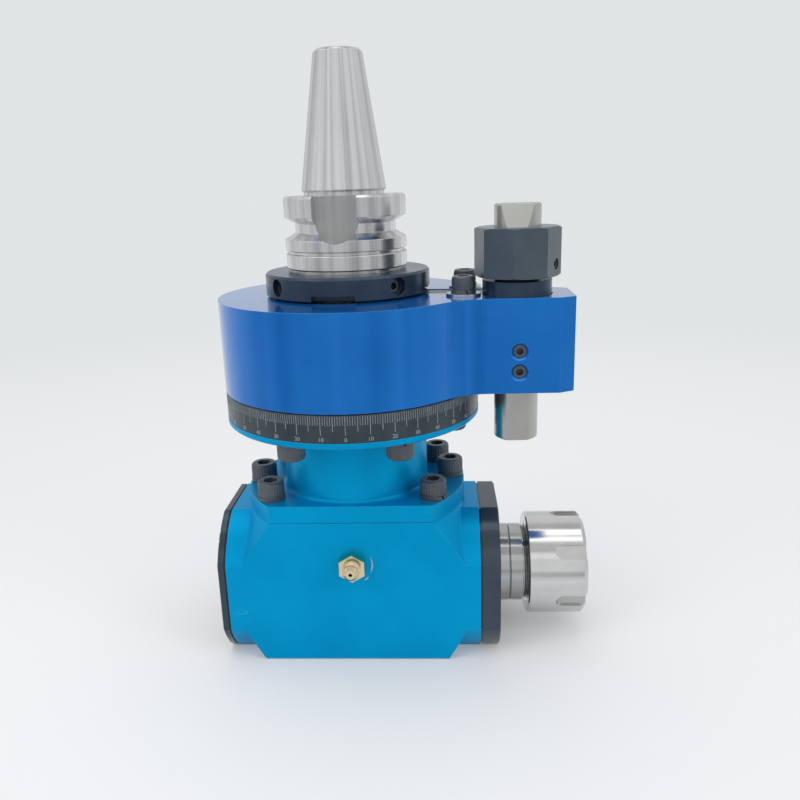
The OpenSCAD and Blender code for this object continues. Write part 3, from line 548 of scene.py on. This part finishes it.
def tube(shape, rows):
    """Joins rows of corner points into one closed tube, with a cap at each end."""
    corners = [[shape.verts.new(point) for point in row] for row in rows]
    shape.faces.new(corners[0])
    for row, following in zip(corners, corners[1:]):
        for index in range(len(row)):
            after = (index + 1) % len(row)
            shape.faces.new((row[index], row[after], following[after], following[index]))
    shape.faces.new(corners[-1][::-1])


def dial_ticks():
    """One raised stroke a degree, longer at each 5 and 10, hanging from the dial's top edge."""
    shape = bmesh.new()
    inner = DIAL_R - STROKE_SINK
    outer = DIAL_R + STROKE_RISE
    for degree in range(360):
        length = STROKE_LONG if degree % 10 == 0 else STROKE_MIDDLE if degree % 5 == 0 else STROKE_SHORT
        half = (STROKE_HALF_WIDE if degree % 5 == 0 else STROKE_HALF_THIN) / DIAL_R
        middle = DIAL_ZERO + math.radians(degree)
        left, right = middle - half, middle + half
        corners = ((inner, left), (outer, left), (outer, right), (inner, right))
        tube(shape, [[round_point(radius, angle, height) for radius, angle in corners]
                     for height in (DIAL_TOP, DIAL_TOP - length)])
    return piece("dial_ticks", finished(shape, "dial_ticks"), "dial_paint", "gear_head")


def number_mesh(value):
    """A plain number as a flat mesh, centred on its foot."""
    words = bpy.data.curves.new("number", "FONT")
    words.body = str(value)
    words.size = NUMBER_SIZE
    words.align_x = "CENTER"
    words.extrude = NUMBER_THICK
    words.resolution_u = 2
    holder = added("number", words)
    bpy.context.view_layer.update()
    mesh = bpy.data.meshes.new_from_object(holder.evaluated_get(bpy.context.evaluated_depsgraph_get()))
    bpy.data.objects.remove(holder)
    bpy.data.curves.remove(words)
    return mesh


def dial_numbers():
    """Plain numbers every 10 degrees, counted up and down from each zero, bent round the dial."""
    shape = bmesh.new()
    for step in range(36):
        count = step % 18
        mesh = number_mesh(10 * min(count, 18 - count))
        middle = DIAL_ZERO + math.radians(step * 10)
        for vertex in mesh.vertices:
            radius = DIAL_R - NUMBER_SINK + vertex.co.z
            vertex.co = round_point(radius, middle + vertex.co.x / DIAL_R, NUMBER_FOOT + vertex.co.y)
        shape.from_mesh(mesh)
        bpy.data.meshes.remove(mesh)
    bmesh.ops.remove_doubles(shape, verts=shape.verts, dist=1e-7)
    return piece("dial_numbers", finished(shape, "dial_numbers"), "dial_paint", "gear_head")


def knurl_band(shape, matrix, radius, low, high):
    """A closed band of straight knurling round a screw head, its inner wall inside the head."""
    count = 2 * KNURL_TEETH
    inside = radius - KNURL_SINK
    rows = []
    for height, outer, ridge in ((low, inside, 0.0), (low + KNURL_RAMP, radius, KNURL_RIDGE),
                                 (high - KNURL_RAMP, radius, KNURL_RIDGE), (high, inside, 0.0)):
        reaches = [outer + (ridge if index % 2 else 0.0) for index in range(count)]
        rows.append([shape.verts.new(matrix @ round_point(reach, 2 * math.pi * index / count, height))
                     for index, reach in enumerate(reaches)])
    for lower, upper in zip(rows, rows[1:] + rows[:1]):
        for index in range(count):
            after = (index + 1) % count
            shape.faces.new((lower[index], lower[after], upper[after], upper[index]))


def screw_heads(name, spots, radius, height, down, body):
    """Knurling for a set of cap screws whose heads start at the given places."""
    shape = bmesh.new()
    for spot in spots:
        matrix = Matrix.Translation(spot)
        if down:
            matrix = matrix @ Matrix.Rotation(math.pi, 4, "X")
        knurl_band(shape, matrix, radius, KNURL_FOOT, height - KNURL_BARE)
    return piece(name, finished(shape, name), "black_screws", body)


def thread(name, spot, axis, root, depth, length, pitch, finish, body):
    """A V thread as one helical ridge, sunk a little into its wall. A depth below 0 points inwards."""
    turn = Matrix.Rotation(math.pi / 2, 4, "Y") if axis == "X" else Matrix.Identity(4)
    matrix = Matrix.Translation(spot) @ turn
    foot = root + (THREAD_SINK if depth < 0 else -THREAD_SINK)
    total = int((length - pitch) / pitch * THREAD_STEPS)
    rows = []
    for index in range(total + 1):
        angle = 2 * math.pi * index / THREAD_STEPS
        middle = pitch / 2 + pitch * index / THREAD_STEPS
        crest = root + depth * min(1.0, index / THREAD_FADE_STEPS, (total - index) / THREAD_FADE_STEPS)
        corners = ((foot, -THREAD_FOOT), (crest, -THREAD_CREST), (crest, THREAD_CREST), (foot, THREAD_FOOT))
        rows.append([matrix @ round_point(reach, angle, middle + rise * pitch) for reach, rise in corners])
    shape = bmesh.new()
    tube(shape, rows)
    return piece(name, finished(shape, name), finish, body)


def spanner_mark():
    """Two thin bright arcs that a spanner left on the block's face beside the grease nipple."""
    shape = bmesh.new()
    middle = (NIPPLE_LOW + NIPPLE_HIGH) / 2
    back, front = BLOCK_FACE + MARK_DEPTH, BLOCK_FACE - MARK_DEPTH
    for reach, start, stop in MARK_ARCS:
        rows = []
        for index in range(MARK_STEPS + 1):
            angle = math.radians(start + (stop - start) * index / MARK_STEPS)
            half = MARK_HALF * math.sin(math.pi * (index + MARK_TIP) / (MARK_STEPS + 2 * MARK_TIP))
            inner, outer = reach - half, reach + half
            corners = ((inner, back), (inner, front), (outer, front), (outer, back))
            rows.append([(middle.x + radius * math.cos(angle), depth, middle.z + radius * math.sin(angle))
                         for radius, depth in corners])
        tube(shape, rows)
    return piece("spanner_mark", finished(shape, "spanner_mark"), "zinc", "gear_head")


def spring_stack():
    """Stands for the disc springs: a copy of the CAD spring on the arm, with the CAD spring hidden."""
    node = nodes["pin_spring"]
    mesh = node.data.copy()
    mesh.transform(node.matrix_world)
    made = piece("pin_spring_stack", mesh, "spring_steel", "arm")
    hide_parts("pin_spring")
    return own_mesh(made)


def bolt_spots(radius, angles, height):
    return [round_point(radius, math.radians(angle), height) for angle in angles]


def all_screw_heads():
    """Knurling of the neck bolts, the arm bolts and the two screws beside the lock key."""
    neck_spots = bolt_spots(NECK_BOLT_RING, NECK_BOLT_ANGLES, NECK_BOLT_TOP - BOLT_HEAD_H)
    screw_heads("neck_bolt_knurls", neck_spots, BOLT_HEAD_R, BOLT_HEAD_H, False, "gear_head")
    arm_spots = bolt_spots(ARM_BOLT_RING, ARM_BOLT_ANGLES, ARM_BOLT_FOOT + BOLT_HEAD_H)
    screw_heads("arm_bolt_knurls", arm_spots, BOLT_HEAD_R, BOLT_HEAD_H, True, "gear_head")
    turn = Matrix.Rotation(KEY_SCREW_TURN, 4, "Z")
    key_spots = [turn @ Vector((x, y, ARM_SCREW_TOP - KEY_SCREW_HEAD_H)) for x, y in KEY_SCREW_SPOTS]
    screw_heads("arm_screw_knurls", key_spots, KEY_SCREW_HEAD_R, KEY_SCREW_HEAD_H, False, "arm")


def all_threads():
    """Threads of the pull stud's hole and of the spindle's nose, behind the nut."""
    thread("pull_stud_thread_ridges", (0, 0, TAPER_TOP - 28 * MM), "Z", root=5.1 * MM, depth=-0.7 * MM,
           length=26.4 * MM, pitch=1.75 * MM, finish="ground_steel", body="shank")
    thread("nose_thread_ridges", (NUT_LOW.x - 1.75 * MM, 0, SPINDLE_CENTRE[2]), "X", root=14.4 * MM,
           depth=1.1 * MM, length=2.2 * MM, pitch=0.75 * MM, finish="shaded_nose_steel", body="output_spindle")


dial_ticks()
dial_numbers()
spanner_mark()
spring_stack()
all_screw_heads()
all_threads()


# Floor, light and camera

def bands_round(tree, across, towards):
    """Soft light and dark bands round the tool axis, as seen by shiny parts."""
    spot = make(tree, "CombineXYZ")
    join(tree, angle_of(tree, across, towards), spot.inputs["X"])
    return remap(tree, noise(tree, spot.outputs[0], 2.4, 2.5, 0.55), 0.36, 0.64, 0.0, 1.0)


def floor_mesh():
    """A flat round floor."""
    shape = bmesh.new()
    centre = shape.verts.new((0, 0, 0))
    step = 2 * math.pi / FLOOR_SIDES
    rings = [[shape.verts.new(round_point(radius, step * side, 0)) for side in range(FLOOR_SIDES)]
             for radius in FLOOR_RINGS]
    for side in range(FLOOR_SIDES):
        after = (side + 1) % FLOOR_SIDES
        shape.faces.new((centre, rings[0][side], rings[0][after]))
        for inner, outer in zip(rings, rings[1:]):
            shape.faces.new((inner[side], outer[side], outer[after], inner[after]))
    return finished(shape, "floor")


def floor_material():
    """Pale paint that takes the object's shadow near it and glows like the background far away."""
    material, tree, shader = new_material("floor")
    shader.inputs["Base Color"].default_value = FLOOR_PAINT
    shader.inputs["Roughness"].default_value = 0.55
    shader.inputs["Specular IOR Level"].default_value = 0.2
    ray = make(tree, "LightPath").outputs
    seen = math_node(tree, "MAXIMUM", ray["Is Camera Ray"], ray["Is Glossy Ray"])
    seen = math_node(tree, "MAXIMUM", seen, ray["Is Transmission Ray"])
    far = length_of(tree, place(tree))
    fade = remap(tree, far, 0.06, 0.34, 0.22, 1.0)
    parts = split(tree, place(tree))
    bands = bands_round(tree, parts["X"], parts["Y"])
    banded = mix_colour(tree, bands, FLOOR_DARK_BAND, FLOOR_LIGHT_BAND)
    behind = remap(tree, parts["Y"], -0.3, 0.2, 0.0, 1.0)
    mirrored = mix_colour(tree, behind, banded, BACKGROUND)
    distance = remap(tree, far, 0.22, 0.75, 0.0, 1.0)
    straight = mix_colour(tree, distance, FLOOR_NEAR, BACKGROUND)
    glow = make(tree, "Emission", None, {"Strength": 1.0})
    join(tree, mix_colour(tree, ray["Is Camera Ray"], mirrored, straight), glow.inputs["Color"])
    surface = mix_shader(tree, times(tree, seen, fade), shader.outputs[0], glow.outputs[0])
    join(tree, surface, tree.nodes["Material Output"].inputs["Surface"])
    return material


def floor():
    """Pale floor that keeps the object's shadow near it and runs into the background far away."""
    mesh = floor_mesh()
    mesh.materials.append(floor_material())
    added("floor", mesh)


def strip_share(colour, share=1.0):
    """A colour as its part of the strips' full strength."""
    return tuple(share * value / STRIP_LIGHT for value in colour[:3]) + (1,)


def overhead_strips(tree, parts):
    """Light strips overhead, by the angle from the front horizon over the top to the back."""
    ahead = make(tree, "Math", {"operation": "MULTIPLY"}, {1: -1.0})
    join(tree, parts["Y"], ahead.inputs[0])
    lift = angle_of(tree, parts["Z"], ahead.outputs[0])
    strips = make(tree, "ValToRGB")
    join(tree, remap(tree, lift, 0.0, math.pi, 0.0, 1.0), strips.inputs[0])
    ramp = strips.color_ramp
    while len(ramp.elements) > 1:
        ramp.elements.remove(ramp.elements[-1])
    for index, (spot, bright) in enumerate(STRIPS):
        element = ramp.elements[0] if index == 0 else ramp.elements.new(spot)
        element.position = spot
        element.color = strip_share((bright, bright, bright))
    return strips.outputs["Color"]


def mirrored_room(tree, parts):
    """What shiny parts mirror: bands in front, the backdrop behind and strips overhead."""
    bands = bands_round(tree, parts["X"], parts["Y"])
    banded = mix_colour(tree, bands, strip_share(ROOM_DARK_BAND), strip_share(ROOM_LIGHT_BAND))
    level = remap(tree, parts["Z"], 0.0, 0.05, 0.0, 1.0)
    banded = mix_colour(tree, level, strip_share(ROOM_LOW), banded)
    behind = remap(tree, parts["Y"], -0.35, 0.25, 0.0, 1.0)
    banded = mix_colour(tree, behind, banded, strip_share(BACKGROUND, MIRRORED_SHARE))
    steep = remap(tree, parts["Z"], 0.36, 0.56, 0.0, 1.0)
    room = make(tree, "Background", None, {"Strength": STRIP_LIGHT})
    join(tree, mix_colour(tree, steep, banded, overhead_strips(tree, parts)), room.inputs["Color"])
    return room.outputs[0]


def world():
    """Pale tent of light, dimmer on the viewer's side, a mirrored room and a plain pale background."""
    made = bpy.data.worlds.new("studio")
    bpy.context.scene.world = made
    made.use_nodes = True
    tree = made.node_tree
    parts = split(tree, make(tree, "TexCoord").outputs["Generated"])
    tent = tree.nodes["Background"]
    front = remap(tree, parts["Y"], -0.9, 0.1, 0.0, 1.0)
    above = remap(tree, parts["Z"], 0.1, 0.9, 0.0, 1.0)
    sides = mix_colour(tree, front, TENT_FRONT, TENT_BACK)
    join(tree, mix_colour(tree, above, sides, TENT_TOP), tent.inputs["Color"])
    tent.inputs["Strength"].default_value = TENT_STRENGTH
    plain = make(tree, "Background", None, {"Color": BACKGROUND, "Strength": 1.0})
    ray = make(tree, "LightPath").outputs
    shiny = math_node(tree, "MAXIMUM", ray["Is Glossy Ray"], ray["Is Transmission Ray"])
    surroundings = mix_shader(tree, shiny, tent.outputs[0], mirrored_room(tree, parts))
    surface = mix_shader(tree, ray["Is Camera Ray"], surroundings, plain.outputs[0])
    join(tree, surface, tree.nodes["World Output"].inputs["Surface"])


def softbox(name, where, towards, width, height, power):
    """A lamp that lights the object and isn't mirrored in it."""
    lamp = bpy.data.lights.new(name, "AREA")
    lamp.shape = "RECTANGLE"
    lamp.size = width
    lamp.size_y = height
    lamp.energy = power
    made = added(name, lamp)
    made.location = where
    made.rotation_mode = "QUATERNION"
    made.rotation_quaternion = (Vector(towards) - Vector(where)).to_track_quat("-Z", "Y")
    made.visible_glossy = False


def camera():
    """The photograph's viewing place."""
    level = math.cos(CAMERA_PITCH)
    ahead = Vector((math.sin(CAMERA_YAW) * level, math.cos(CAMERA_YAW) * level, -math.sin(CAMERA_PITCH)))
    right = Vector((math.cos(CAMERA_YAW), -math.sin(CAMERA_YAW), 0))
    up = right.cross(ahead)
    side = right * math.cos(CAMERA_ROLL) + up * math.sin(CAMERA_ROLL)
    top = -right * math.sin(CAMERA_ROLL) + up * math.cos(CAMERA_ROLL)
    data = bpy.data.cameras.new("camera")
    data.sensor_width = SENSOR_MM
    data.lens = FOCAL_PIXELS / PICTURE_PIXELS * SENSOR_MM
    data.clip_start = 0.01
    data.clip_end = 50
    made = added("camera", data)
    matrix = Matrix((side, top, -ahead)).transposed().to_4x4()
    matrix.translation = Vector(CAMERA_PLACE)
    made.matrix_world = matrix
    bpy.context.scene.camera = made


floor()
world()
for box in SOFTBOXES:
    softbox(*box)
camera()
bpy.context.scene.view_settings.view_transform = "Standard"
